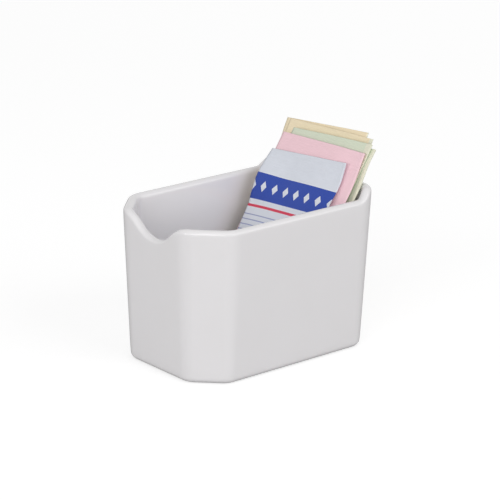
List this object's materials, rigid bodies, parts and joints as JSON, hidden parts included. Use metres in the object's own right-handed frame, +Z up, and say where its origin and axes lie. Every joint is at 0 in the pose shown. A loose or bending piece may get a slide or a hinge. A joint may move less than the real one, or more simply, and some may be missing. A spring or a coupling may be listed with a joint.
{
  "type": "sugar packet holder",
  "caption": "Small glazed porcelain packet holder with a finger notch, clipped corners and a raised end, holding a leaning pile of sweetener packets.",
  "frame": {"origin": "middle of the tub's flat base, on the table", "axes": "+Z up; +X along the tub from the notched end to the raised end; +Y across it, towards the side that the picture sees from inside"},
  "size_m": [0.0784, 0.0524, 0.0684],
  "materials": {
    "glazed_porcelain": "gloss",
    "white_paper": "satin",
    "pink_paper": "matte",
    "green_paper": "matte",
    "yellow_paper": "matte",
    "granules": "matte"
  },
  "bodies": {
    "tub": {"tub": "glazed_porcelain"},
    "white_packet": {"white_envelope": "white_paper", "white_sweetener": "granules"},
    "pink_packet": {"pink_envelope": "pink_paper", "pink_sweetener": "granules"},
    "green_front_packet": {"green_front_envelope": "green_paper", "green_front_sweetener": "granules"},
    "green_back_packet": {"green_back_envelope": "green_paper", "green_back_sweetener": "granules"},
    "yellow_front_packet": {"yellow_front_envelope": "yellow_paper", "yellow_front_sweetener": "granules"},
    "yellow_back_packet": {"yellow_back_envelope": "yellow_paper", "yellow_back_sweetener": "granules"}
  },
  "joints": [
    {"name": "white_packet_lift", "type": "slide", "parent": "tub", "child": "white_packet", "axis": [0.5446, 0, 0.8387], "range_m": [0, 0.085]},
    {"name": "pink_packet_lift", "type": "slide", "parent": "tub", "child": "pink_packet", "axis": [0.5446, 0, 0.8387], "range_m": [0, 0.085]},
    {"name": "green_front_packet_lift", "type": "slide", "parent": "tub", "child": "green_front_packet", "axis": [0.5446, 0, 0.8387], "range_m": [0, 0.085]},
    {"name": "green_back_packet_lift", "type": "slide", "parent": "tub", "child": "green_back_packet", "axis": [0.5446, 0, 0.8387], "range_m": [0, 0.085]},
    {"name": "yellow_front_packet_lift", "type": "slide", "parent": "tub", "child": "yellow_front_packet", "axis": [0.5446, 0, 0.8387], "range_m": [0, 0.085]},
    {"name": "yellow_back_packet_lift", "type": "slide", "parent": "tub", "child": "yellow_back_packet", "axis": [0.5446, 0, 0.8387], "range_m": [0, 0.085]}
  ]
}
